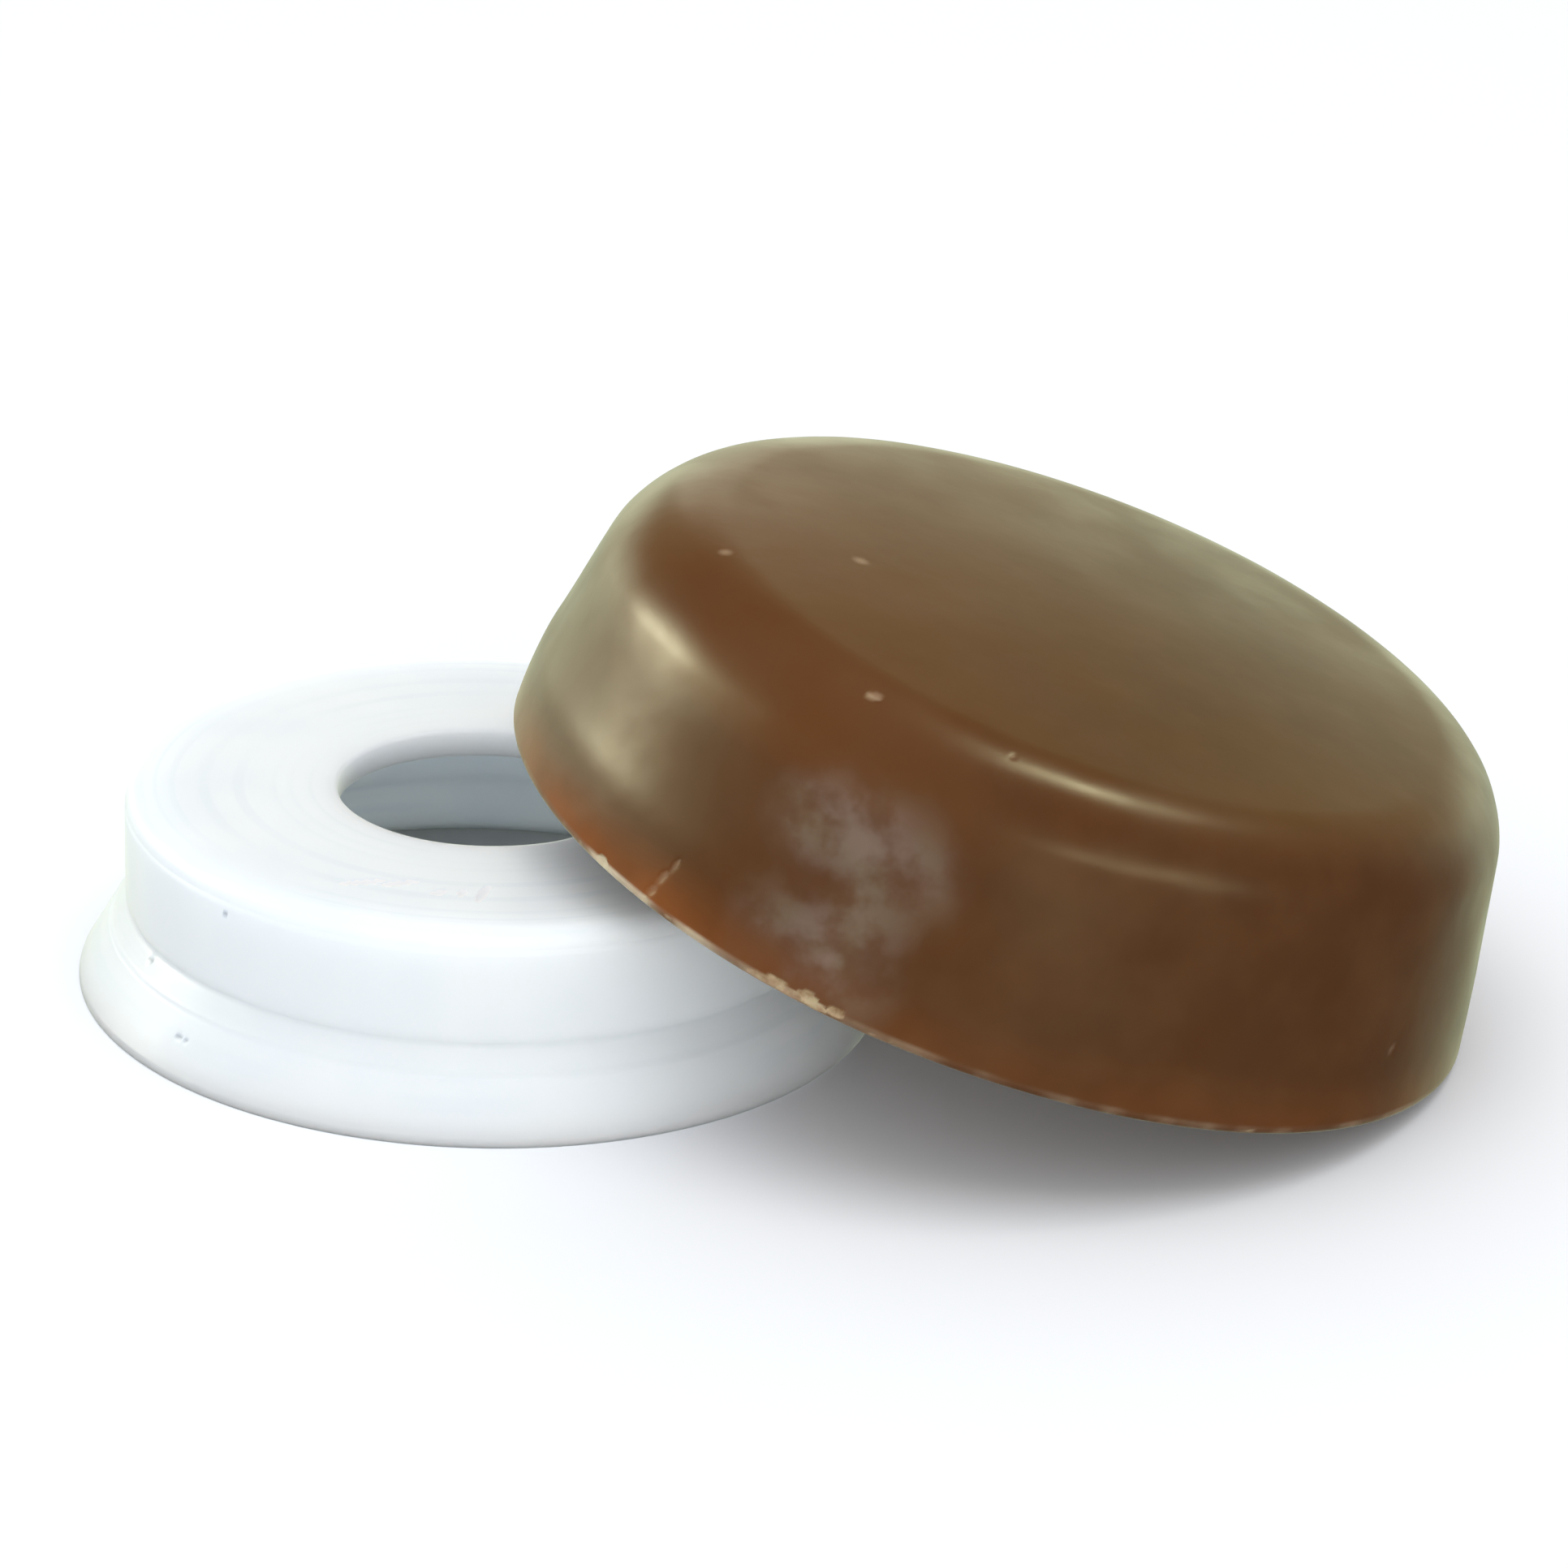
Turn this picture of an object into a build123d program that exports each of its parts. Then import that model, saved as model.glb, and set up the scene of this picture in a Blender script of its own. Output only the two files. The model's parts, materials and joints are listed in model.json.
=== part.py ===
from build123d import *
import math
import os

# A round cake of rosin leaning on its flanged plastic holder, in millimetres.
# +Z is up and the standing surface is Z = 0. Both pieces are round, and their axes
# lie in the plane Y = 0. The cake's raised end rests on the holder, on the -X side,
# and its lower edge stands on the surface, on the +X side.
# The origin is on the standing surface, below the middle of the pair.

# Cake: a tapered disc with a domed, round-edged playing face
CAKE_BACK_RADIUS = 25.25
CAKE_SHOULDER_RADIUS = 22.45
CAKE_SHOULDER_HEIGHT = 13.95
CAKE_DOME_RISE = 1.3
CAKE_EDGE_ROUNDING = 5.5
CAKE_BACK_EDGE_BREAK = 0.4
SEAT_DEPTH = 0.7

# Holder: a shallow cup, open side down, with a flared flange and a central hole
FLANGE_RADIUS = 20.0
FLANGE_LIP_HEIGHT = 0.3
FLANGE_TOP_HEIGHT = 4.2
CUP_RADIUS = 17.7
HOLDER_HEIGHT = 10.2
HOLE_RADIUS = 7.3
WALL = 1.5
CUP_TOP_ROUNDING = 0.95
CUP_INNER_ROUNDING = 0.6

# Fit between the two
LEAN_DEGREES = 16.75
SEAT_CLEARANCE = 0.3
CONTACT_GAP = 0.1

PARTS_FOLDER = "parts"


def revolved(outline):
    """Turn a closed outline in the XZ plane, with radius along X, about the Z axis."""
    return revolve(make_face(Plane.XZ * outline), Axis.Z)


def corner_at(shape, radius, height):
    """The corner of a revolved shape's circle nearest to a radius and a height."""
    circles = shape.edges().filter_by(GeomType.CIRCLE)
    return min(
        circles,
        key=lambda edge: math.hypot(edge.radius - radius, edge.arc_center.Z - height),
    )


def make_cake():
    """The cake upright, with the middle of its large back face at the origin."""
    apex = (0, CAKE_SHOULDER_HEIGHT + CAKE_DOME_RISE)
    shoulder = (CAKE_SHOULDER_RADIUS, CAKE_SHOULDER_HEIGHT)
    seat_radius = FLANGE_RADIUS + SEAT_CLEARANCE
    dome = TangentArc(apex, shoulder, tangent=(1, 0))
    rest = Polyline(
        shoulder,
        (CAKE_BACK_RADIUS, 0),
        (seat_radius, 0),
        (seat_radius, SEAT_DEPTH),
        (0, SEAT_DEPTH),
        apex,
    )
    cake = revolved(dome + rest)
    cake = fillet(corner_at(cake, CAKE_SHOULDER_RADIUS, CAKE_SHOULDER_HEIGHT), CAKE_EDGE_ROUNDING)
    return fillet(corner_at(cake, CAKE_BACK_RADIUS, 0), CAKE_BACK_EDGE_BREAK)


def make_holder():
    """The holder with its flange's rim on the standing surface and its axis on Z."""
    flare_run = FLANGE_RADIUS - CUP_RADIUS
    flare_rise = FLANGE_TOP_HEIGHT - FLANGE_LIP_HEIGHT
    flare_slant = math.hypot(flare_run, flare_rise)
    # Offset of the cone's inside, measured level, that keeps the wall's true thickness
    level_wall = WALL * flare_slant / flare_rise
    inner_radius = CUP_RADIUS - WALL
    inner_flare_top = FLANGE_TOP_HEIGHT + (WALL - level_wall) * flare_rise / flare_run
    inner_mouth_radius = inner_radius + inner_flare_top * flare_run / flare_rise
    holder = revolved(
        Polyline(
            (HOLE_RADIUS, HOLDER_HEIGHT),
            (CUP_RADIUS, HOLDER_HEIGHT),
            (CUP_RADIUS, FLANGE_TOP_HEIGHT),
            (FLANGE_RADIUS, FLANGE_LIP_HEIGHT),
            (FLANGE_RADIUS, 0),
            (inner_mouth_radius, 0),
            (inner_radius, inner_flare_top),
            (inner_radius, HOLDER_HEIGHT - WALL),
            (HOLE_RADIUS, HOLDER_HEIGHT - WALL),
            close=True,
        )
    )
    holder = fillet(corner_at(holder, CUP_RADIUS, HOLDER_HEIGHT), CUP_TOP_ROUNDING)
    return fillet(corner_at(holder, inner_radius, HOLDER_HEIGHT - WALL), CUP_INNER_ROUNDING)


def lean(cake):
    """Tilt the cake down towards +X, stand its edge on the surface and rest its back,
    but for the contact gap, on the rounded top edge of the holder."""
    sine = math.sin(math.radians(LEAN_DEGREES))
    cosine = math.cos(math.radians(LEAN_DEGREES))
    tilted = Rot(Y=LEAN_DEGREES) * cake
    centre_height = -tilted.bounding_box().min.Z
    # Along the cake's axis: how high the holder's rounded edge reaches
    edge_reach = (
        (CUP_RADIUS - CUP_TOP_ROUNDING) * sine
        + (HOLDER_HEIGHT - CUP_TOP_ROUNDING) * cosine
        + CUP_TOP_ROUNDING
    )
    centre_reach = edge_reach + CONTACT_GAP - SEAT_DEPTH
    centre_offset = (centre_reach - centre_height * cosine) / sine
    return Pos(X=centre_offset, Z=centre_height) * tilted


def centred(parts):
    """Move the pair along X so that the origin is below the middle of its box."""
    boxes = [part.bounding_box() for part in parts.values()]
    middle = (min(box.min.X for box in boxes) + max(box.max.X for box in boxes)) / 2
    return {name: Pos(X=-middle) * part for name, part in parts.items()}


def main():
    os.makedirs(PARTS_FOLDER, exist_ok=True)
    parts = centred({"holder": make_holder(), "rosin_cake": lean(make_cake())})
    for name, part in parts.items():
        part.label = name
        export_step(part, f"{PARTS_FOLDER}/{name}.step")


main()
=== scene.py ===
import json
import math
import random

import bpy
import numpy as np
from mathutils import Matrix, Vector, noise


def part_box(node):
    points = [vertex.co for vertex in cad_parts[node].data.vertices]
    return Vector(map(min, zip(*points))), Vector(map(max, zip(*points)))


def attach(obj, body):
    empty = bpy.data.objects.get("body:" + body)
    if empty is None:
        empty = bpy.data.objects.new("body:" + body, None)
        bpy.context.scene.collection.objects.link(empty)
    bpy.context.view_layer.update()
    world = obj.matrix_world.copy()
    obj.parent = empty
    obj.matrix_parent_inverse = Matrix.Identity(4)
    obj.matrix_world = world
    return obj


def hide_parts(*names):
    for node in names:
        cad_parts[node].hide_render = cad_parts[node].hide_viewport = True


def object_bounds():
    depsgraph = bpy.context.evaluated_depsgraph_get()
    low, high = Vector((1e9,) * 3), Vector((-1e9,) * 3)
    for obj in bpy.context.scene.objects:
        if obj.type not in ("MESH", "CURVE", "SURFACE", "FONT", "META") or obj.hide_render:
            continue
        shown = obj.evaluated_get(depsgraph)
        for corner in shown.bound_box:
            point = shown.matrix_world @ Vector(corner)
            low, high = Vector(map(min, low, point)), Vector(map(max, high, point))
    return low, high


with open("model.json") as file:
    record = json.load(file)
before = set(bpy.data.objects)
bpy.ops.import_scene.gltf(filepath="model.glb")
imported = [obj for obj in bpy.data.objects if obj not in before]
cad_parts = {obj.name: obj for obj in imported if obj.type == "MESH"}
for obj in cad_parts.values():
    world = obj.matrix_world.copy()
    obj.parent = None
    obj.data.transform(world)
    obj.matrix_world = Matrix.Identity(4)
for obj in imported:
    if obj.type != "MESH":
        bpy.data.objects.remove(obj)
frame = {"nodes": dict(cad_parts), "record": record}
cad_low, cad_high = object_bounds()

# A cake of bow rosin leaning on its plastic holder. Both are modelled in millimetres
# about their own axes, and placed where the frame says. Angles round an axis are in
# degrees: 0 points to +X, where the cake's lower edge is, and -90 to -Y, the near side.
MM = 0.001

# The meshes' angles are closer together on the near, raised side, where the edge is chipped
FINE_ARC = (-168, -66)
FINE_STEP = 0.32
COARSE_STEP = 0.8

# Cake
BACK_RADIUS = 25.25
SHOULDER_RADIUS = 22.45
SHOULDER_HEIGHT = 13.95
DOME_RISE = 1.3
# The playing face's edge is least rounded at this angle, on the near side
NEAR_ANGLE = 280
NEAR_ROUNDING = 4.3
FAR_ROUNDING = 7.0
BACK_BREAK = 0.35
SEAT_RADIUS = 20.3
SEAT_DEPTH = 0.7
SEAT_CORNER = 0.25
# The side's mesh is finer in this band above the back edge, where the chips are
FINE_BAND = 3.2
CHIP_SEED = 23
# A chip is cut from outside and below, as (outwards, up), and the side narrows by the taper
CHIP_WAY = (0.87, -0.5)
TAPER = 0.2

# Wear of the cake: the side is worn in below a height, most of all at the raised end. The
# wear goes from none to full between two radii, so the middle of the back isn't moved.
WORN_IN = 0.14
WORN_IN_RAISED = 0.34
WORN_HEIGHT = 4.5
WORN_RADII = (21.5, 24.0)

# Swells of the cake's side: how high, the height of the middle, and the half-width.
# One runs round the raised end, and the other is on its near side.
RAISED_SWELL = (0.03, 4.0, 0.9)
NEAR_SWELL = (0.11, 9.6, 2.6)
NEAR_SWELL_ANGLE = -147
NEAR_SWELL_COSINES = (0.8, 0.97)

# Relief of the surfaces: how high, how wide its features are, and the noise's seed
CAKE_FLOW = (0.11, 12, 3)
CAKE_RIPPLE = (0.035, 4.2, 9)
CAKE_GRAIN = (0.006, 1.3, 21)
HOLDER_FLOW = (0.045, 11, 5)
HOLDER_RIPPLE = (0.015, 3.5, 15)
# The playing face is smoother: its ripple is lower by the loss, and all its relief by the share
FACE_RIPPLE_LOSS = 0.017
FACE_SHARE = 0.45

# Parts of the cake: the heights, radii or angles between which a mask goes from 0 to 1.
# The overhanging end is given by the cosine of the angle from the lower edge, and the
# raised side by X as a share of the back radius.
OVERHANG_COSINES = (-0.25, -0.85)
RAISED_SHARES = (0.45, -0.7)
SIDE_HEIGHTS = (0.1, 0.6)
SIDE_RADII = (20.4, 22.0)
FACE_HEIGHTS = (13.0, 13.8)
FACE_COLOUR_HEIGHTS = (12.6, 14.0)
RAISED_COLOUR_HEIGHTS = (7.5, 10.5)
GLOW_HEIGHTS = (3.4, 0.4)
EDGE_HEIGHTS = (0.6, 0.4)
EDGE_RADII = (24.5, 24.9)
EDGE_LINE_ANGLES = (-160, -148)
# The patches of bloom are centred this far from the axis
BLOOM_RADIUS = 24.2

# Holder
FLANGE_RADIUS = 20.0
LIP_HEIGHT = 0.3
FLANGE_TOP = 4.2
CUP_RADIUS = 17.7
CUP_HEIGHT = 10.2
CUP_ROUNDING = 0.95
INNER_ROUNDING = 0.6
HOLE_RADIUS = 7.3
HOLE_EDGE = 0.22
WALL = 1.5
MOULD_STEP_HEIGHT = 3.0
MOULD_STEP = 0.06
CREASE_GROOVE = 0.1
PARTING_STEP = 0.07
PARTING_RUN = 0.05
LIP_BREAK = 0.12
RIM_BREAK = 0.06
STEP_RUN = 0.04
# Relief starts and is full at these heights, and the rim that the holder stands on is flat
RIM_CLEAR_HEIGHTS = (0.1, 1.2)
SCRATCH_REACH = 0.3
SCRATCH_DEPTH = 0.12
PIT_REACH = 0.22
# A pit's middle is outside the surface by this share of its reach
PIT_LIFT = 0.7

# Studio, in metres and degrees. The camera is in front, turned, raised and rolled a little.
FLOOR_RADIUS = 3
FLOOR_SIDES = 96
CAMERA_AIM = (-0.0003, 0, 0.0111)
CAMERA_TURN = 0.42
CAMERA_ELEVATION = 22.67
CAMERA_DISTANCE = 0.3151
CAMERA_ROLL = 2.71
SENSOR_MM = 36
LENS_MM = 146.3
WHITE = (0.96, 0.98, 1.0)
OLIVE = (0.88, 1.0, 0.74)
CREAM = (1.0, 1.0, 0.80)


# ---------------------------------------------------------------- outlines and turning


def arc(centre, radius, start, end, count):
    """Points on an arc in the outline's plane, from the start to the end angle."""
    angles = np.radians(np.linspace(start, end, count))
    return [(centre[0] + radius * math.cos(a), centre[1] + radius * math.sin(a)) for a in angles]


def line(start, end, count):
    """Evenly spaced points on a line, without its two ends."""
    steps = [i / (count + 1) for i in range(1, count + 1)]
    return [(start[0] + (end[0] - start[0]) * t, start[1] + (end[1] - start[1]) * t) for t in steps]


def outline_normals(points, closed):
    """Unit normals to the right of the way the outline runs, as (radius, height)."""
    points = np.array(points)
    if closed:
        run = np.roll(points, -1, axis=0) - np.roll(points, 1, axis=0)
    else:
        run = np.gradient(points, axis=0)
    run /= np.linalg.norm(run, axis=1)[:, None]
    return np.stack([run[:, 1], -run[:, 0]], axis=1)


def angles_round():
    """Every angle of a turned mesh."""
    start, end = FINE_ARC
    fine = np.arange(start, end, FINE_STEP)
    return np.concatenate([fine, np.arange(end, start + 360, COARSE_STEP)])


def turn(outline_at, closed):
    """The outline of every angle as points and outward normals, both (angle, row, 3)."""
    points, normals = [], []
    for angle in angles_round():
        outline = outline_at(angle)
        across = (math.cos(math.radians(angle)), math.sin(math.radians(angle)))
        for source, target in ((outline, points), (outline_normals(outline, closed), normals)):
            flat = np.array(source)
            target.append(np.stack([flat[:, 0] * across[0], flat[:, 0] * across[1], flat[:, 1]], 1))
    return np.array(points), np.array(normals)


def waves(points, rise, size, seed):
    """Smooth noise up to a rise either way, with features about this many mm wide."""
    shift = Vector((seed, -seed, 2 * seed))
    flat = points.reshape(-1, 3) / size
    values = [noise.noise(Vector(point) + shift) for point in flat]
    return rise * np.array(values).reshape(points.shape[:-1])


def smooth_step(low, high, values):
    """0 below low and 1 above high, with a smooth ramp between. High may be the lower."""
    t = np.clip((values - low) / (high - low), 0, 1)
    return t * t * (3 - 2 * t)


def at_angle(angle, radius, height):
    """The point at an angle round the axis, in degrees."""
    turned = math.radians(angle)
    return np.array([radius * math.cos(turned), radius * math.sin(turned), height])


def bite(points, centre, along, run, reach, clean=0.05):
    """Push the points inside an ellipsoid out to its surface, away from its centre. It
    reaches run along a direction and reach across it. Gives 1 where that bit deeper than
    clean, and less where it was shallower."""
    along = along / np.linalg.norm(along)
    offset = points - centre
    on_run = offset @ along
    across = np.linalg.norm(offset - on_run[..., None] * along, axis=-1)
    share = np.sqrt((on_run / run) ** 2 + (across / reach) ** 2)
    stretch = np.where(share < 1, 1 / np.maximum(share, 0.01), 1)
    moved = np.linalg.norm(offset, axis=-1) * (stretch - 1)
    points[:] = centre + offset * stretch[..., None]
    return np.clip(moved / clean, 0, 1)


def solid(name, points, place, closed, masks):
    """A closed mesh from turned points. Rows that end on the axis close to one point."""
    turns, rows, _ = points.shape
    inner = range(rows) if closed else range(1, rows - 1)
    index = {row: i for i, row in enumerate(inner)}
    vertices = [points[:, row] for row in inner]
    vertex_masks = {key: [mask[:, row] for row in inner] for key, mask in masks.items()}
    faces = []
    for row in inner:
        above = (row + 1) % rows
        if above not in index:
            continue
        low, high = index[row] * turns, index[above] * turns
        for turned in range(turns):
            after = (turned + 1) % turns
            faces.append((low + turned, low + after, high + after, high + turned))
    if not closed:
        count = len(inner) * turns
        last = (len(inner) - 1) * turns
        for turned in range(turns):
            after = (turned + 1) % turns
            faces.append((count, after, turned))
            faces.append((count + 1, last + turned, last + after))
        vertices.append(points[:, 0].mean(axis=0)[None])
        vertices.append(points[:, -1].mean(axis=0)[None])
        for key, mask in masks.items():
            vertex_masks[key] += [mask[:1, 0], mask[:1, -1]]
    mesh = bpy.data.meshes.new(name)
    mesh.from_pydata((np.concatenate(vertices) * MM).tolist(), [], faces)
    mesh.transform(place)
    for key, parts in vertex_masks.items():
        layer = mesh.attributes.new(key, "FLOAT", "POINT")
        layer.data.foreach_set("value", np.concatenate(parts).astype(np.float32))
    mesh.shade_smooth()
    piece = bpy.data.objects.new(name, mesh)
    bpy.context.scene.collection.objects.link(piece)
    return piece


# ---------------------------------------------------------------- the cake's shape


def cake_place():
    """From the cake's own axes, with its back face at Z = 0, to the frame."""
    axis = Vector(frame["record"]["behaviour"]["joints"][0]["axis"]).normalized()
    side = Vector((0, 1, 0))
    down = side.cross(axis)
    corners = [vertex.co for vertex in frame["nodes"]["rosin_cake"].data.vertices]
    middle = (max(c.dot(down) for c in corners) + min(c.dot(down) for c in corners)) / 2
    back = min(c.dot(axis) for c in corners)
    turned = Matrix((down, side, axis)).transposed().to_4x4()
    return Matrix.Translation(down * middle + axis * back) @ turned


def edge_rounding(angle):
    """The playing face's edge is worn rounder on the raised and far sides."""
    away = (1 - math.cos(math.radians(angle - NEAR_ANGLE))) / 2
    return NEAR_ROUNDING + (FAR_ROUNDING - NEAR_ROUNDING) * away


def cake_outline(angle):
    """From the middle of the seat in the back, out, up the side and in to the apex."""
    rounding = edge_rounding(angle)
    apex = SHOULDER_HEIGHT + DOME_RISE
    dome_radius = (SHOULDER_RADIUS**2 + DOME_RISE**2) / (2 * DOME_RISE)
    dome_centre = np.array([0, apex - dome_radius])
    wall = np.array([SHOULDER_RADIUS - BACK_RADIUS, SHOULDER_HEIGHT])
    wall /= np.linalg.norm(wall)
    outward = np.array([wall[1], -wall[0]])
    lean = math.degrees(math.atan2(outward[1], outward[0]))

    # The edge's arc touches the wall and the dome
    offset = np.array([BACK_RADIUS, 0]) - rounding * outward - dome_centre
    reach = dome_radius - rounding
    along = -offset @ wall + math.sqrt((offset @ wall) ** 2 - offset @ offset + reach**2)
    centre = dome_centre + offset + along * wall
    crest = math.degrees(math.atan2(*(centre - dome_centre)[::-1]))
    edge = arc(centre, rounding, lean, crest, 30)

    # The back edge's arc touches the wall and the back face
    foot = np.array([BACK_RADIUS, 0]) - BACK_BREAK * outward
    foot += wall * (BACK_BREAK - foot[1]) / wall[1]
    back_edge = arc(foot, BACK_BREAK, -90, lean, 7)

    corner = (SEAT_RADIUS - SEAT_CORNER, SEAT_DEPTH - SEAT_CORNER)
    mouth = (SEAT_RADIUS + SEAT_CORNER, SEAT_CORNER)
    seat_corner = arc(corner, SEAT_CORNER, 90, 0, 4)
    seat_mouth = arc(mouth, SEAT_CORNER, 180, 270, 4)

    near_rim = tuple(np.array(back_edge[-1]) + wall * FINE_BAND)
    dome = [
        (r, dome_centre[1] + math.sqrt(dome_radius**2 - r * r))
        for r in np.linspace(edge[-1][0], 0, 45)[1:-1]
    ]
    return (
        [(0, SEAT_DEPTH)]
        + line((0, SEAT_DEPTH), seat_corner[0], 10)
        + seat_corner
        + seat_mouth
        + line(seat_mouth[-1], back_edge[0], 7)
        + back_edge
        + line(back_edge[-1], near_rim, 18)
        + [near_rim]
        + line(near_rim, edge[0], 18)
        + edge
        + dome
        + [(0, apex)]
    )


def rim_chips():
    """Flakes broken from the back edge: (angle, height, half-length, reach, depth)."""
    named = [
        (-141.6, 0.42, 0.60, 0.42, 0.20),
        (-140.0, 0.15, 0.45, 0.36, 0.15),
        (-133.8, 0.30, 0.40, 0.34, 0.12),
        (-117.0, 0.32, 1.30, 0.36, 0.12),
        (-114.9, 0.62, 0.80, 0.30, 0.10),
        (-113.2, 0.38, 1.10, 0.34, 0.13),
        (-111.2, 0.66, 0.70, 0.32, 0.12),
        (-110.1, 0.34, 0.90, 0.34, 0.13),
        (-107.7, 0.56, 0.55, 0.32, 0.13),
        (-103.2, 0.20, 0.60, 0.40, 0.10),
    ]
    span = random.Random(CHIP_SEED).uniform

    def scattered(count, angles, runs, reach, depths):
        """Small flakes at random, between limits."""
        return [
            (span(*angles), span(0, 0.3), span(*runs), reach, span(*depths))
            for _ in range(count)
        ]

    fine = scattered(80, (-166, -100), (0.15, 0.7), 0.3, (0.02, 0.09))
    coarse = scattered(30, (-100, 194), (0.5, 1.8), 0.8, (0.03, 0.12))
    return named + fine + coarse


def nicks():
    """Small marks on the playing face and side: (angle, radius, height, half-length, width,
    turn from level, paleness). The first three make a flake up the side from the edge."""
    return [
        (-132.0, 24.85, 2.45, 0.90, 0.22, 72, 0.75),
        (-132.7, 24.95, 1.60, 0.95, 0.34, 66, 0.65),
        (-133.6, 25.05, 0.75, 0.90, 0.44, 58, 0.55),
        (-120.0, 20.90, 13.50, 0.70, 0.44, 14, 1.0),
        (-100.6, 20.60, 13.62, 0.30, 0.22, 0, 0.8),
        (-38.7, 24.45, 4.00, 0.34, 0.22, 30, 0.8),
    ]


def face_specks():
    """Faint pale specks on the playing face: (middle, reach)."""
    specks = []
    for angle, radius, reach in ((-158.0, 19.7, 0.50), (-159.0, 12.6, 0.60)):
        face = [point for point in cake_outline(angle) if point[1] > SHOULDER_HEIGHT / 2]
        height = np.interp(radius, [r for r, _ in reversed(face)], [z for _, z in reversed(face)])
        specks.append((cake_place() @ (Vector(at_angle(angle, radius, height)) * MM), reach))
    return specks


def nearest(points, angle, radius, height):
    """The surface point nearest to a place given by angle, radius and height."""
    far = np.linalg.norm(points - at_angle(angle, radius, height), axis=-1)
    return np.unravel_index(far.argmin(), far.shape)


def overhanging(angle):
    """1 at the cake's raised end and 0 elsewhere. The angle is in radians."""
    return smooth_step(*OVERHANG_COSINES, np.cos(angle))


def roll_under(angle, height):
    """How far the side is worn in at a height. The angle is in radians."""
    low_down = np.clip(1 - height / WORN_HEIGHT, 0, 1) ** 2
    return (WORN_IN + WORN_IN_RAISED * overhanging(angle)) * low_down


def swell(height, rise, middle, half_width):
    """How far a low band round the side stands out at a height."""
    return rise * np.exp(-(((height - middle) / half_width) ** 2))


def chip(points):
    """Break the flakes out of the back edge. Gives 1 where a flake is missing."""
    chipped = np.zeros(points.shape[:-1])
    for where, level, run, reach, depth in rim_chips():
        tangent = at_angle(where + 90, 1, 0)
        worn_in = roll_under(math.radians(where), level)
        centre = at_angle(where, BACK_RADIUS - TAPER * level - worn_in, level)
        centre += at_angle(where, *CHIP_WAY) * (reach - depth)
        chipped = np.maximum(chipped, bite(points, centre, tangent, run, reach))
    return chipped


def nick(points, normals):
    """Press the small marks in. Gives the paleness of each where it is."""
    nicked = np.zeros(points.shape[:-1])
    for where, radius, level, run, width, turned, pale in nicks():
        spot = nearest(points, where, radius, level)
        tangent = at_angle(where + 90, 1, 0)
        upward = np.cross(normals[spot], tangent)
        tilt = math.radians(turned)
        along = tangent * math.cos(tilt) + upward * math.sin(tilt)
        centre = points[spot] + normals[spot] * width * (1 - 0.25 * pale)
        nicked = np.maximum(nicked, pale * bite(points, centre, along, run, width, clean=0.12))
    return nicked


def make_cake():
    """The cake: turned, with flow relief, a worn side, chips and nicks."""
    points, normals = turn(cake_outline, closed=False)
    height = points[..., 2].copy()
    radius = np.hypot(points[..., 0], points[..., 1])
    angle = np.arctan2(points[..., 1], points[..., 0])
    on_side = smooth_step(*SIDE_HEIGHTS, height) * smooth_step(*SIDE_RADII, radius)
    on_face = smooth_step(*FACE_HEIGHTS, height)
    overhang = overhanging(angle)
    raised = smooth_step(*RAISED_SHARES, points[..., 0] / BACK_RADIUS)
    from_swell = np.cos(angle - math.radians(NEAR_SWELL_ANGLE))
    near_end = smooth_step(*NEAR_SWELL_COSINES, from_swell)

    ripple, ripple_size, ripple_seed = CAKE_RIPPLE
    relief = waves(points, *CAKE_FLOW)
    relief += waves(points, ripple - FACE_RIPPLE_LOSS * on_face, ripple_size, ripple_seed)
    relief += waves(points, *CAKE_GRAIN)
    relief += overhang * swell(height, *RAISED_SWELL) + near_end * swell(height, *NEAR_SWELL)
    points += normals * (relief * np.maximum(on_side, FACE_SHARE * on_face))[..., None]
    rolled = roll_under(angle, height) * smooth_step(*WORN_RADII, radius)
    points -= rolled[..., None] * np.stack([np.cos(angle), np.sin(angle), 0 * angle], axis=-1)

    chipped = chip(points)
    nicked = nick(points, normals)

    # A pale line is painted on the back edge: mostly a painted highlight along the raised end's
    # near side, and faint wear all round
    highlight_line = overhang * smooth_step(*EDGE_LINE_ANGLES, np.degrees(angle)) * (angle < 0)
    on_edge = smooth_step(*EDGE_RADII, radius) * smooth_step(*EDGE_HEIGHTS, height)
    masks = {
        "chipped": chipped,
        "nicked": nicked,
        "edge": on_edge * (0.2 + 0.8 * highlight_line),
        "glow": on_side * (0.25 + 0.75 * overhang) * smooth_step(*GLOW_HEIGHTS, height),
        "face": smooth_step(*FACE_COLOUR_HEIGHTS, height),
        "raised": raised * np.maximum(smooth_step(*RAISED_COLOUR_HEIGHTS, height), 0.55),
        "bloom": bloom_mask(points),
    }
    return solid("rosin_cake_cast", points, cake_place(), closed=False, masks=masks)


def bloom_mask(points):
    """Where the dusty bloom lies: a soft patch on the near side, by the raised end. It is
    made of round ones: (angle, height, size)."""
    patches = [
        (-120.0, 8.0, 3.0),
        (-116.0, 8.2, 4.0),
        (-109.5, 8.6, 3.8),
        (-106.5, 7.4, 3.8),
        (-108.0, 5.0, 3.0),
        (-118.0, 2.8, 3.3),
        (-112.0, 3.0, 3.2),
        (-108.5, 2.2, 3.8),
    ]
    clear = np.ones(points.shape[:-1])
    for where, height, size in patches:
        far = np.linalg.norm(points - at_angle(where, BLOOM_RADIUS, height), axis=-1)
        clear *= 1 - 0.75 * smooth_step(size, 0, far)
    return 1 - clear


# ---------------------------------------------------------------- the holder's shape


def holder_place():
    """From the holder's own axes, standing at Z = 0, to the frame."""
    low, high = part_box("holder")
    middle = (low + high) / 2
    return Matrix.Translation((middle.x, middle.y, low.z))


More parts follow.
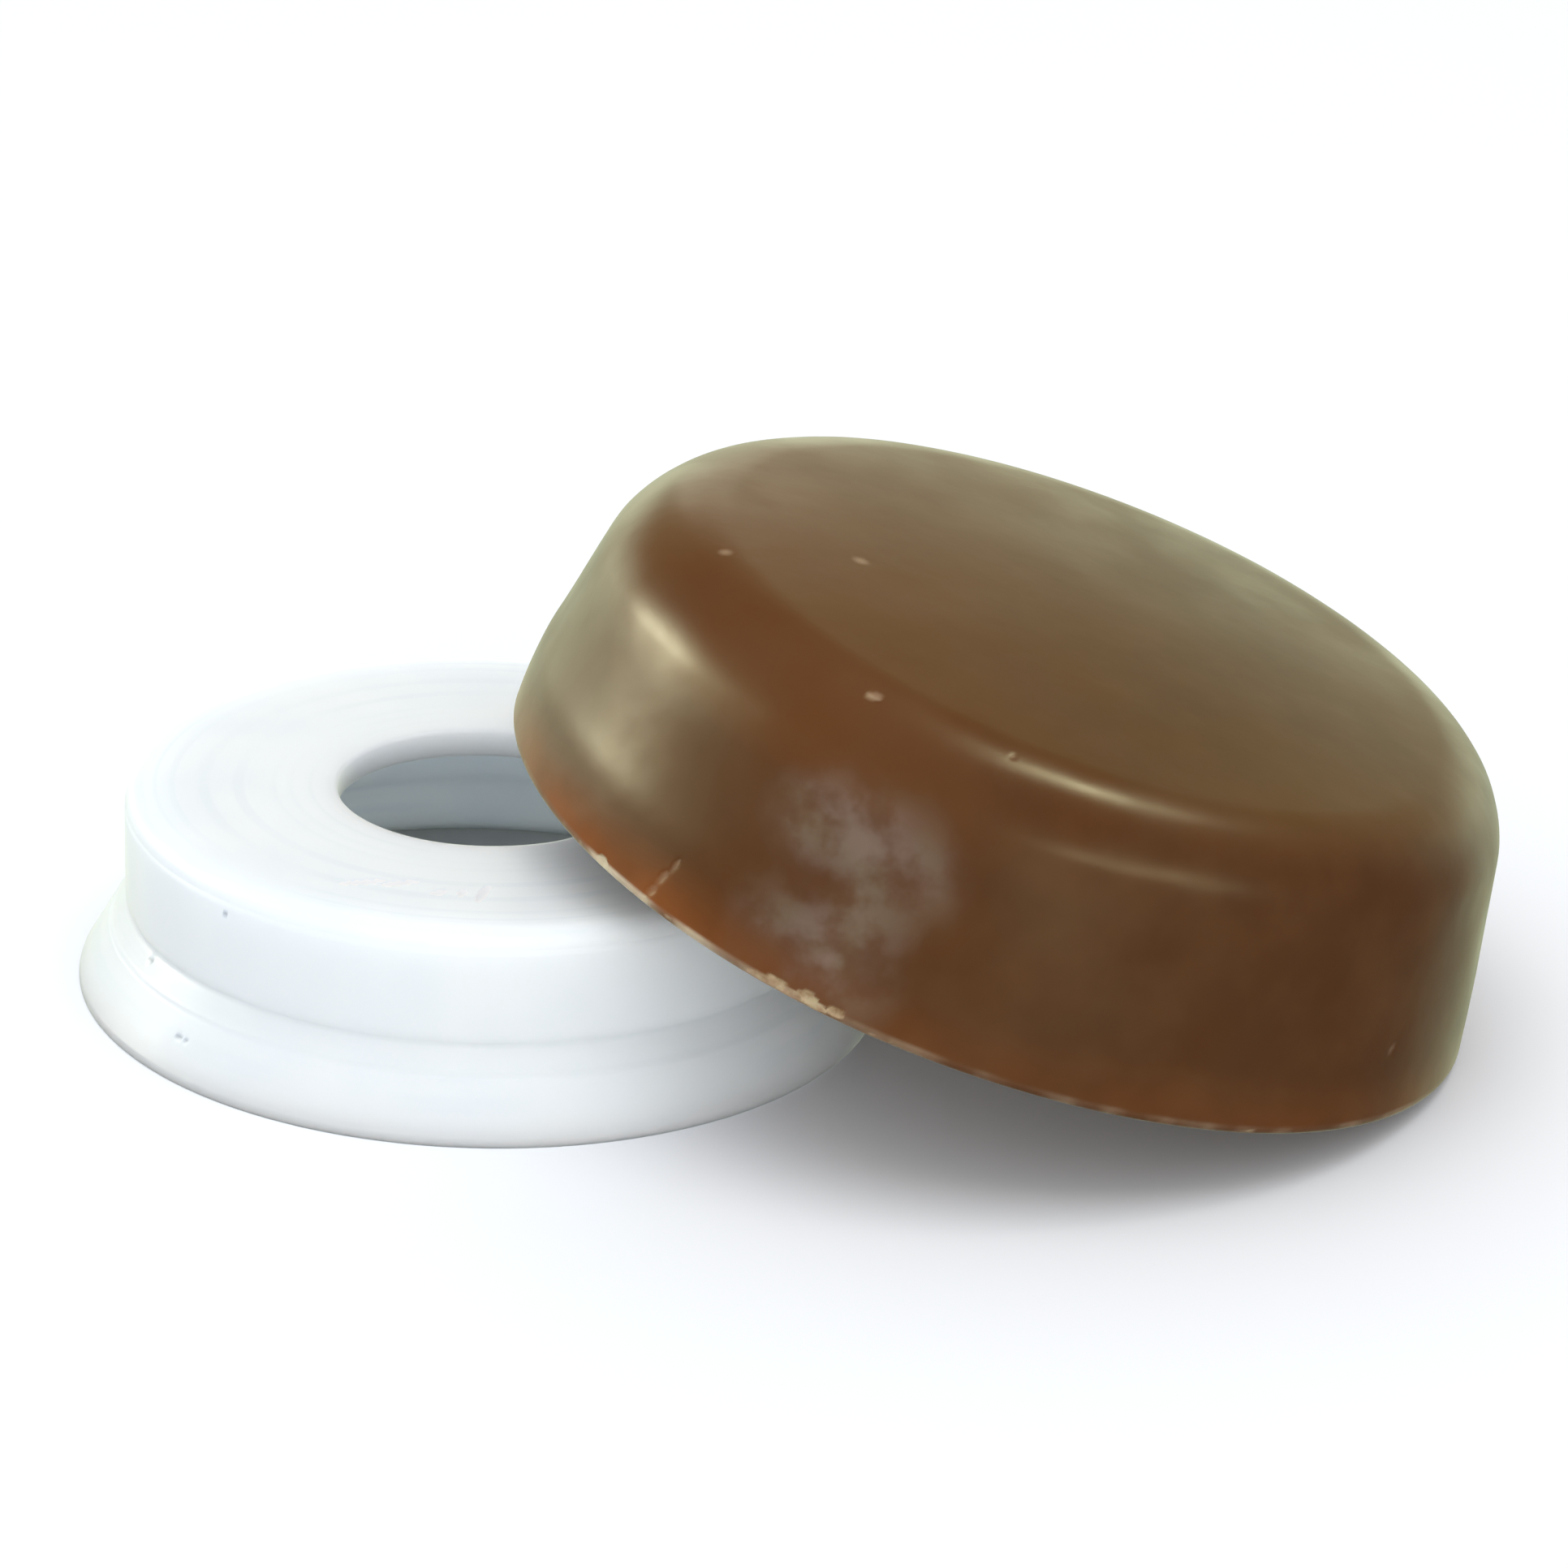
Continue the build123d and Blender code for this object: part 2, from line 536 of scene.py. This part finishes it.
def holder_outline(_angle):
    """A closed loop, the same at every angle. Its stretches are listed over the top, down
    the outside and up inside. The loop runs the other way, so that its right is outwards."""
    flare = np.array([FLANGE_RADIUS - CUP_RADIUS, LIP_HEIGHT - FLANGE_TOP])
    slope = flare / np.linalg.norm(flare)
    level_wall = WALL * np.linalg.norm(flare) / -flare[1]
    inner = CUP_RADIUS - WALL
    inner_top = FLANGE_TOP + (WALL - level_wall) * -flare[1] / flare[0]
    inner_mouth = inner + inner_top * flare[0] / -flare[1]
    top_edge = (CUP_RADIUS - CUP_ROUNDING, CUP_HEIGHT - CUP_ROUNDING)
    hole_top = (HOLE_RADIUS + HOLE_EDGE, CUP_HEIGHT - HOLE_EDGE)
    hole_low = (HOLE_RADIUS + HOLE_EDGE, CUP_HEIGHT - WALL + HOLE_EDGE)
    inner_corner = (inner - INNER_ROUNDING, CUP_HEIGHT - WALL - INNER_ROUNDING)
    crease = np.array([CUP_RADIUS, FLANGE_TOP])
    step = crease + slope * (FLANGE_TOP - MOULD_STEP_HEIGHT) / -slope[1]
    raised = np.array([-slope[1], slope[0]]) * MOULD_STEP
    lip = np.array([FLANGE_RADIUS, LIP_HEIGHT])

    top = (
        arc(hole_top, HOLE_EDGE, 180, 90, 5)
        + line((hole_top[0], CUP_HEIGHT), (top_edge[0], CUP_HEIGHT), 34)
        + arc(top_edge, CUP_ROUNDING, 90, 0, 10)
    )
    parting = (CUP_RADIUS + PARTING_STEP, top_edge[1] - 2 * PARTING_RUN)
    cup_side = (
        [(CUP_RADIUS, top_edge[1] - PARTING_RUN), parting]
        + line(parting, (CUP_RADIUS, FLANGE_TOP + 0.45), 16)
        + [(CUP_RADIUS, FLANGE_TOP + 0.4)]
    )
    groove = [(CUP_RADIUS - CREASE_GROOVE, FLANGE_TOP + rise) for rise in (0.2, 0.08)]
    flange = (
        [tuple(crease + slope * 0.12)]
        + line(crease + slope * 0.15, step - slope * 0.06, 4)
        + [tuple(step - slope * STEP_RUN), tuple(step + raised + slope * STEP_RUN)]
        + line(step + raised + slope * 0.06, lip - slope * 0.5, 12)
        + [tuple(lip - slope * short) for short in (0.4, 0.2, LIP_BREAK)]
    )
    rim = (
        [(FLANGE_RADIUS, LIP_HEIGHT - LIP_BREAK), (FLANGE_RADIUS, RIM_BREAK)]
        + [(FLANGE_RADIUS - RIM_BREAK, 0)]
        + line((FLANGE_RADIUS - RIM_BREAK, 0), (inner_mouth, 0), 3)
        + [(inner_mouth, 0.0)]
    )
    inside = (
        line((inner_mouth, 0), (inner, inner_top), 8)
        + [(inner, inner_top)]
        + line((inner, inner_top), (inner, inner_corner[1]), 10)
        + arc(inner_corner, INNER_ROUNDING, 0, 90, 6)
        + line((inner_corner[0], CUP_HEIGHT - WALL), (hole_low[0], CUP_HEIGHT - WALL), 16)
        + arc(hole_low, HOLE_EDGE, 270, 180, 5)
        + line((HOLE_RADIUS, hole_low[1]), (HOLE_RADIUS, hole_top[1]), 3)
    )
    return (top + cup_side + groove + flange + rim + inside)[::-1]


def scratch(points):
    """Cut scratches in the flat top, near the edge. Gives 1 where they are."""
    scratched = np.zeros(points.shape[:-1])
    # Angle, radius, turn of the scratch, half-length
    scratches = [
        (-112, 13.6, 15, 1.5),
        (-104.5, 12.9, 20, 1.2),
        (-95.6, 13.5, 30, 0.5),
        (-90.8, 13.3, 70, 0.4),
        (-86.6, 13.3, 78, 1.2),
    ]
    for where, radius, turned, run in scratches:
        centre = at_angle(where, radius, CUP_HEIGHT + SCRATCH_REACH - SCRATCH_DEPTH)
        along = at_angle(turned, 1, 0)
        cut = bite(points, centre, along, run, SCRATCH_REACH, clean=0.02)
        scratched = np.maximum(scratched, cut)
    return scratched


def pit(points, normals):
    """Press in the small pits where dirt is caught. Gives 1 where they are."""
    pitted = np.zeros(points.shape[:-1])
    # Angle, radius, height, half-length
    pits = [
        (-130.4, 17.7, 8.5, 0.24),
        (-150.3, 18.0, 4.0, 0.45),
        (-135.8, 19.1, 1.9, 0.40),
        (-134.2, 19.1, 2.0, 0.22),
    ]
    for where, radius, level, run in pits:
        spot = nearest(points, where, radius, level)
        centre = points[spot] + normals[spot] * PIT_REACH * PIT_LIFT
        along = at_angle(where + 90, 1, 0)
        pitted = np.maximum(pitted, bite(points, centre, along, run, PIT_REACH))
    return pitted


def make_holder():
    """The holder: turned, with faint relief, scratches and dirty pits."""
    points, normals = turn(holder_outline, closed=True)
    relief = waves(points, *HOLDER_FLOW) + waves(points, *HOLDER_RIPPLE)
    clear_of_rim = smooth_step(*RIM_CLEAR_HEIGHTS, points[..., 2])
    points += normals * (relief * clear_of_rim)[..., None]
    scratched = scratch(points)
    pitted = pit(points, normals)
    masks = {"scratched": scratched, "pitted": pitted}
    return solid("holder_moulding", points, holder_place(), closed=True, masks=masks)


# ---------------------------------------------------------------- materials


class Nodes:
    """A material and short calls that add nodes to its tree."""

    def __init__(self, name):
        self.material = bpy.data.materials.new(name)
        self.material.use_nodes = True
        self.tree = self.material.node_tree
        self.shader = self.tree.nodes["Principled BSDF"]
        self.place = self.tree.nodes.new("ShaderNodeTexCoord").outputs["Object"]

    def join(self, value, socket):
        """Link a socket to another one, or set it to a value."""
        if isinstance(value, bpy.types.NodeSocket):
            self.tree.links.new(value, socket)
        else:
            socket.default_value = value

    def noise(self, size_mm, detail=2.0, roughness=0.5):
        """Noise from 0 to 1 with features about this many millimetres wide."""
        node = self.tree.nodes.new("ShaderNodeTexNoise")
        node.inputs["Scale"].default_value = 1 / (size_mm * MM)
        node.inputs["Detail"].default_value = detail
        node.inputs["Roughness"].default_value = roughness
        self.tree.links.new(self.place, node.inputs["Vector"])
        return node.outputs["Fac"]

    def mask(self, name):
        """One of the masks that the mesh carries."""
        node = self.tree.nodes.new("ShaderNodeAttribute")
        node.attribute_name = name
        return node.outputs["Fac"]

    def near(self, middle, reach_mm):
        """1 at a point and 0 from a reach away. The point is in metres."""
        node = self.tree.nodes.new("ShaderNodeVectorMath")
        node.operation = "DISTANCE"
        self.tree.links.new(self.place, node.inputs[0])
        node.inputs[1].default_value = middle
        return self.spread(node.outputs["Value"], reach_mm * MM, 0)

    def rings(self, middle, size_mm):
        """Noise from 0 to 1 in rings round an upright axis, about this many mm wide."""
        flat = self.tree.nodes.new("ShaderNodeVectorMath")
        flat.operation = "MULTIPLY"
        self.tree.links.new(self.place, flat.inputs[0])
        flat.inputs[1].default_value = (1, 1, 0)
        far = self.tree.nodes.new("ShaderNodeVectorMath")
        far.operation = "DISTANCE"
        self.tree.links.new(flat.outputs[0], far.inputs[0])
        far.inputs[1].default_value = (middle.x, middle.y, 0)
        node = self.tree.nodes.new("ShaderNodeTexNoise")
        node.noise_dimensions = "1D"
        node.inputs["Scale"].default_value = 1 / (size_mm * MM)
        node.inputs["Detail"].default_value = 2
        self.tree.links.new(far.outputs["Value"], node.inputs["W"])
        return node.outputs["Fac"]

    def maths(self, operation, *values):
        node = self.tree.nodes.new("ShaderNodeMath")
        node.operation = operation
        for value, socket in zip(values, node.inputs):
            self.join(value, socket)
        return node.outputs[0]

    def spread(self, value, low, high, to_low=0.0, to_high=1.0):
        """The value mapped from low..high to another range, with smooth ends."""
        node = self.tree.nodes.new("ShaderNodeMapRange")
        node.interpolation_type = "SMOOTHSTEP"
        for socket, number in zip(node.inputs, (value, low, high, to_low, to_high)):
            self.join(number, socket)
        return node.outputs[0]

    def blend(self, share, first, second):
        """A colour between two colours."""
        node = self.tree.nodes.new("ShaderNodeMix")
        node.data_type = "RGBA"
        self.join(share, node.inputs["Factor"])
        for colour, socket in ((first, node.inputs[6]), (second, node.inputs[7])):
            self.join((*colour, 1) if isinstance(colour, tuple) else colour, socket)
        return node.outputs[2]

    def bump(self, height, distance_mm, strength):
        node = self.tree.nodes.new("ShaderNodeBump")
        node.inputs["Strength"].default_value = strength
        node.inputs["Distance"].default_value = distance_mm * MM
        self.tree.links.new(height, node.inputs["Height"])
        self.tree.links.new(node.outputs[0], self.shader.inputs["Normal"])

    def set(self, **values):
        """Set or link the shader's sockets, named with _ for a space."""
        for name, value in values.items():
            self.join(value, self.shader.inputs[name.replace("_", " ")])


def rosin_material():
    """Red-brown translucent resin with a hazy gloss, a dusty bloom and pale chips."""
    nodes = Nodes("rosin")
    pale_mark = (0.54, 0.38, 0.23)

    # The body's colour, with an orange glow through its thin lower edge
    cloud = nodes.spread(nodes.noise(15), 0.3, 0.7)
    side = nodes.blend(cloud, (0.063, 0.0195, 0.0048), (0.082, 0.028, 0.0073))
    face = nodes.blend(cloud, (0.084, 0.031, 0.007), (0.104, 0.043, 0.0115))
    lit_end = nodes.blend(cloud, (0.112, 0.036, 0.008), (0.132, 0.045, 0.011))
    colour = nodes.blend(nodes.mask("face"), side, face)
    colour = nodes.blend(nodes.mask("raised"), colour, lit_end)
    streaks = nodes.spread(nodes.noise(3.0, 3.0), 0.35, 0.75, 0, 0.3)
    colour = nodes.blend(streaks, colour, (0.125, 0.050, 0.015))
    uneven = nodes.spread(nodes.noise(4, 3.0), 0.3, 0.7, 0.6, 1)
    lit = nodes.maths("MULTIPLY", nodes.mask("glow"), uneven)
    colour = nodes.blend(lit, colour, (0.25, 0.072, 0.013))

    # Dust over it
    haze = nodes.spread(nodes.noise(4.5), 0.3, 0.7, 0.6, 1)
    mottle = nodes.spread(nodes.noise(1.9, 3.0), 0.33, 0.67, 0.3, 1)
    dust = nodes.maths("MULTIPLY", nodes.maths("MULTIPLY", haze, mottle), nodes.mask("bloom"))
    dust = nodes.maths("MULTIPLY", dust, 0.32)
    tint = nodes.spread(nodes.noise(2.6, 1.0), 0.35, 0.65)
    colour = nodes.blend(dust, colour, nodes.blend(tint, (0.47, 0.41, 0.36), (0.44, 0.43, 0.33)))

    # Chips, nicks, specks, and the pale back edge: a painted highlight on the raised end's near
    # side, with faint wear all round
    crumbs = nodes.spread(nodes.noise(0.8, 3.0, 0.6), 0.3, 0.7)
    broken = nodes.blend(crumbs, (0.21, 0.095, 0.030), (0.48, 0.38, 0.22))
    colour = nodes.blend(nodes.maths("MULTIPLY", nodes.mask("chipped"), 0.85), colour, broken)
    colour = nodes.blend(nodes.maths("MULTIPLY", nodes.mask("nicked"), 0.55), colour, pale_mark)
    for middle, reach in face_specks():
        speck = nodes.maths("MULTIPLY", nodes.near(middle, reach), 0.38)
        colour = nodes.blend(speck, colour, pale_mark)
    patchy = nodes.spread(nodes.noise(3, 3.0), 0.35, 0.65, 0.1, 0.8)
    # The back edge's pale line: a painted highlight, with faint wear where the mask is low
    wear_and_edge_highlight = nodes.maths("MULTIPLY", nodes.mask("edge"), patchy)
    colour = nodes.blend(wear_and_edge_highlight, colour, (0.72, 0.64, 0.45))
    chip = nodes.maths("MAXIMUM", nodes.mask("chipped"), wear_and_edge_highlight)

    gloss = nodes.spread(nodes.noise(5, 3.0), 0.3, 0.7, 0.28, 0.36)
    dull = nodes.maths("MAXIMUM", dust, nodes.maths("MULTIPLY", chip, 0.4))
    nodes.bump(nodes.noise(0.9, 3.0), 0.012, 0.5)
    nodes.set(
        Base_Color=colour,
        Roughness=nodes.maths("ADD", gloss, nodes.maths("MULTIPLY", dull, 0.8)),
        IOR=1.54,
        Specular_IOR_Level=0.3,
        Specular_Tint=(1.0, 0.97, 0.72, 1.0),
        Subsurface_Weight=0.25,
        Subsurface_Radius=(1.0, 0.3, 0.1),
        Subsurface_Scale=0.002,
    )
    return nodes.material


def holder_material():
    """Milky, slightly bluish translucent plastic with faint flow marks and scratches."""
    nodes = Nodes("holder_plastic")
    cloud = nodes.spread(nodes.noise(9), 0.35, 0.65)
    colour = nodes.blend(cloud, (0.82, 0.885, 0.97), (0.86, 0.925, 0.985))
    low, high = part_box("holder")
    flow = nodes.spread(nodes.rings((low + high) / 2, 0.9), 0.45, 0.7)
    flow = nodes.maths("MULTIPLY", flow, nodes.spread(nodes.noise(13, 1.0), 0.4, 0.62, 0, 0.24))
    colour = nodes.blend(flow, colour, (0.66, 0.76, 0.86))
    scratch = nodes.spread(nodes.mask("scratched"), 0.05, 0.5)
    colour = nodes.blend(scratch, colour, (1.0, 1.0, 1.0))
    pitted = nodes.maths("MULTIPLY", nodes.mask("pitted"), 0.75)
    colour = nodes.blend(pitted, colour, (0.34, 0.35, 0.35))
    gloss = nodes.spread(nodes.noise(4, 3.0), 0.3, 0.7, 0.30, 0.40)
    nodes.bump(nodes.noise(0.8, 3.0), 0.01, 0.4)
    nodes.set(
        Base_Color=colour,
        Roughness=nodes.maths("ADD", gloss, nodes.maths("MULTIPLY", scratch, 0.2)),
        IOR=1.51,
        Specular_IOR_Level=0.2,
        Subsurface_Weight=1.0,
        Subsurface_Radius=(0.92, 0.97, 1.0),
        Subsurface_Scale=0.0035,
    )
    return nodes.material


def floor_material():
    nodes = Nodes("pale_floor")
    nodes.set(
        Base_Color=nodes.blend(nodes.noise(40), (0.93, 0.93, 0.93), (0.95, 0.95, 0.95)),
        Roughness=0.7,
    )
    return nodes.material


# ---------------------------------------------------------------- studio


def make_floor():
    """A round floor, far wider than the views reach."""
    mesh = bpy.data.meshes.new("studio_floor")
    angles = np.linspace(0, 2 * math.pi, FLOOR_SIDES, False)
    rim = [(FLOOR_RADIUS * math.cos(a), FLOOR_RADIUS * math.sin(a), 0) for a in angles]
    mesh.from_pydata(rim, [], [tuple(range(FLOOR_SIDES))])
    floor = bpy.data.objects.new("studio_floor", mesh)
    floor.data.materials.append(floor_material())
    floor.visible_glossy = False
    bpy.context.scene.collection.objects.link(floor)


def towards(azimuth, elevation):
    """A unit direction: azimuth 0 is +Y, away from the camera, and 90 is +X."""
    a, e = math.radians(azimuth), math.radians(elevation)
    return Vector((math.sin(a) * math.cos(e), math.cos(a) * math.cos(e), math.sin(e)))


def add_softbox(shines, name, azimuth, elevation, distance, size, power, colour):
    """An area light that faces the pair. It either shines in gloss or lights surfaces."""
    data = bpy.data.lights.new(name, "AREA")
    data.shape = "RECTANGLE"
    data.size, data.size_y = size
    data.energy = power
    data.color = colour
    light = bpy.data.objects.new(name, data)
    middle = (cad_low + cad_high) / 2
    way = towards(azimuth, elevation)
    light.location = middle + way * distance
    light.rotation_euler = way.to_track_quat("Z", "Y").to_euler()
    light.visible_diffuse = not shines
    light.visible_glossy = shines
    bpy.context.scene.collection.objects.link(light)


def add_lights():
    """Fills light the surfaces, and panels shine in their gloss. Each is given by its name,
    azimuth, elevation, distance, size, power and colour."""
    fills = [
        ("overhead_softbox", 180, 80, 0.7, (0.6, 0.6), 1.5, WHITE),
        ("front_fill", 148, 6, 0.8, (1.0, 0.14), 1.35, WHITE),
    ]
    panels = [
        ("left_window", -50, 8, 0.6, (0.32, 0.21), 0.27, OLIVE),
        ("left_glow", -84, 20, 0.6, (0.44, 0.25), 0.95, OLIVE),
        ("left_lamp", -71, 16, 0.6, (0.20, 0.12), 1.85, CREAM),
        ("back_window", -3, 16, 0.9, (0.3, 0.22), 0.29, CREAM),
        ("right_strip", 72, 63, 0.6, (0.022, 0.17), 1.2, CREAM),
        ("front_strip", 152, 9, 0.6, (0.5, 0.04), 0.75, CREAM),
    ]
    for fill in fills:
        add_softbox(False, *fill)
    for panel in panels:
        add_softbox(True, *panel)


def gloss_room(tree):
    """An uneven olive room: bright low down at the back, and dark overhead and in front."""
    way = tree.nodes.new("ShaderNodeTexCoord").outputs["Generated"]
    split = tree.nodes.new("ShaderNodeSeparateXYZ")
    tree.links.new(way, split.inputs[0])

    # Up the back wall, by the sine of the elevation
    rise = tree.nodes.new("ShaderNodeMapRange")
    rise.inputs["From Min"].default_value = -1
    tree.links.new(split.outputs["Z"], rise.inputs[0])
    wall = tree.nodes.new("ShaderNodeValToRGB")
    wall.color_ramp.interpolation = "EASE"
    tree.links.new(rise.outputs[0], wall.inputs[0])
    heights = [
        (-0.45, (0.95, 1.08, 0.72)),
        (-0.20, (1.05, 1.20, 0.85)),
        (0.00, (1.75, 1.95, 1.35)),
        (0.08, (1.55, 1.75, 1.25)),
        (0.16, (1.08, 1.20, 0.84)),
        (0.26, (0.34, 0.31, 0.18)),
        (0.45, (0.38, 0.37, 0.17)),
        (0.75, (0.09, 0.08, 0.05)),
    ]
    stops = wall.color_ramp.elements
    missing = [None] * (len(heights) - len(stops))
    for stop, (sine, colour) in zip([*stops] + missing, heights):
        share = (sine + 1) / 2
        stop = stop or stops.new(share)
        stop.position = share
        stop.color = (*colour, 1)

    # The back wall goes over into a dim room at the sides and in front
    back = tree.nodes.new("ShaderNodeMapRange")
    back.interpolation_type = "SMOOTHSTEP"
    for socket, value in zip(back.inputs[1:], (0.35, 0.9, 0.0, 1.0)):
        socket.default_value = value
    tree.links.new(split.outputs["Y"], back.inputs[0])
    room = tree.nodes.new("ShaderNodeMix")
    room.data_type = "RGBA"
    room.inputs[6].default_value = (0.12, 0.15, 0.12, 1)
    tree.links.new(back.outputs[0], room.inputs["Factor"])
    tree.links.new(wall.outputs[0], room.inputs[7])
    return room.outputs[2]


def add_world():
    """Even white light on surfaces from all round. Only a gloss sees the olive room."""
    world = bpy.data.worlds.new("studio")
    bpy.context.scene.world = world
    world.use_nodes = True
    tree = world.node_tree
    seen = tree.nodes.new("ShaderNodeMix")
    seen.data_type = "RGBA"
    seen.inputs[6].default_value = (0.88, 0.90, 0.94, 1)
    path = tree.nodes.new("ShaderNodeLightPath")
    tree.links.new(path.outputs["Is Glossy Ray"], seen.inputs["Factor"])
    tree.links.new(gloss_room(tree), seen.inputs[7])
    tree.links.new(seen.outputs[2], tree.nodes["Background"].inputs["Color"])


def add_camera():
    data = bpy.data.cameras.new("camera")
    data.sensor_width = SENSOR_MM
    data.lens = LENS_MM
    camera = bpy.data.objects.new("camera", data)
    back = towards(180 - CAMERA_TURN, CAMERA_ELEVATION)
    camera.location = Vector(CAMERA_AIM) + back * CAMERA_DISTANCE
    facing = back.to_track_quat("Z", "Y").to_matrix().to_4x4()
    roll = Matrix.Rotation(math.radians(CAMERA_ROLL), 4, "Z")
    camera.matrix_world = Matrix.Translation(camera.location) @ facing @ roll
    bpy.context.scene.collection.objects.link(camera)
    bpy.context.scene.camera = camera


def build():
    cake = make_cake()
    cake.data.materials.append(rosin_material())
    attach(cake, "cake")
    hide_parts("rosin_cake")

    holder = make_holder()
    holder.data.materials.append(holder_material())
    holder.visible_glossy = False
    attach(holder, "holder")
    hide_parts("holder")

    make_floor()
    add_world()
    add_lights()
    add_camera()
    bpy.context.scene.view_settings.view_transform = "Standard"


build()
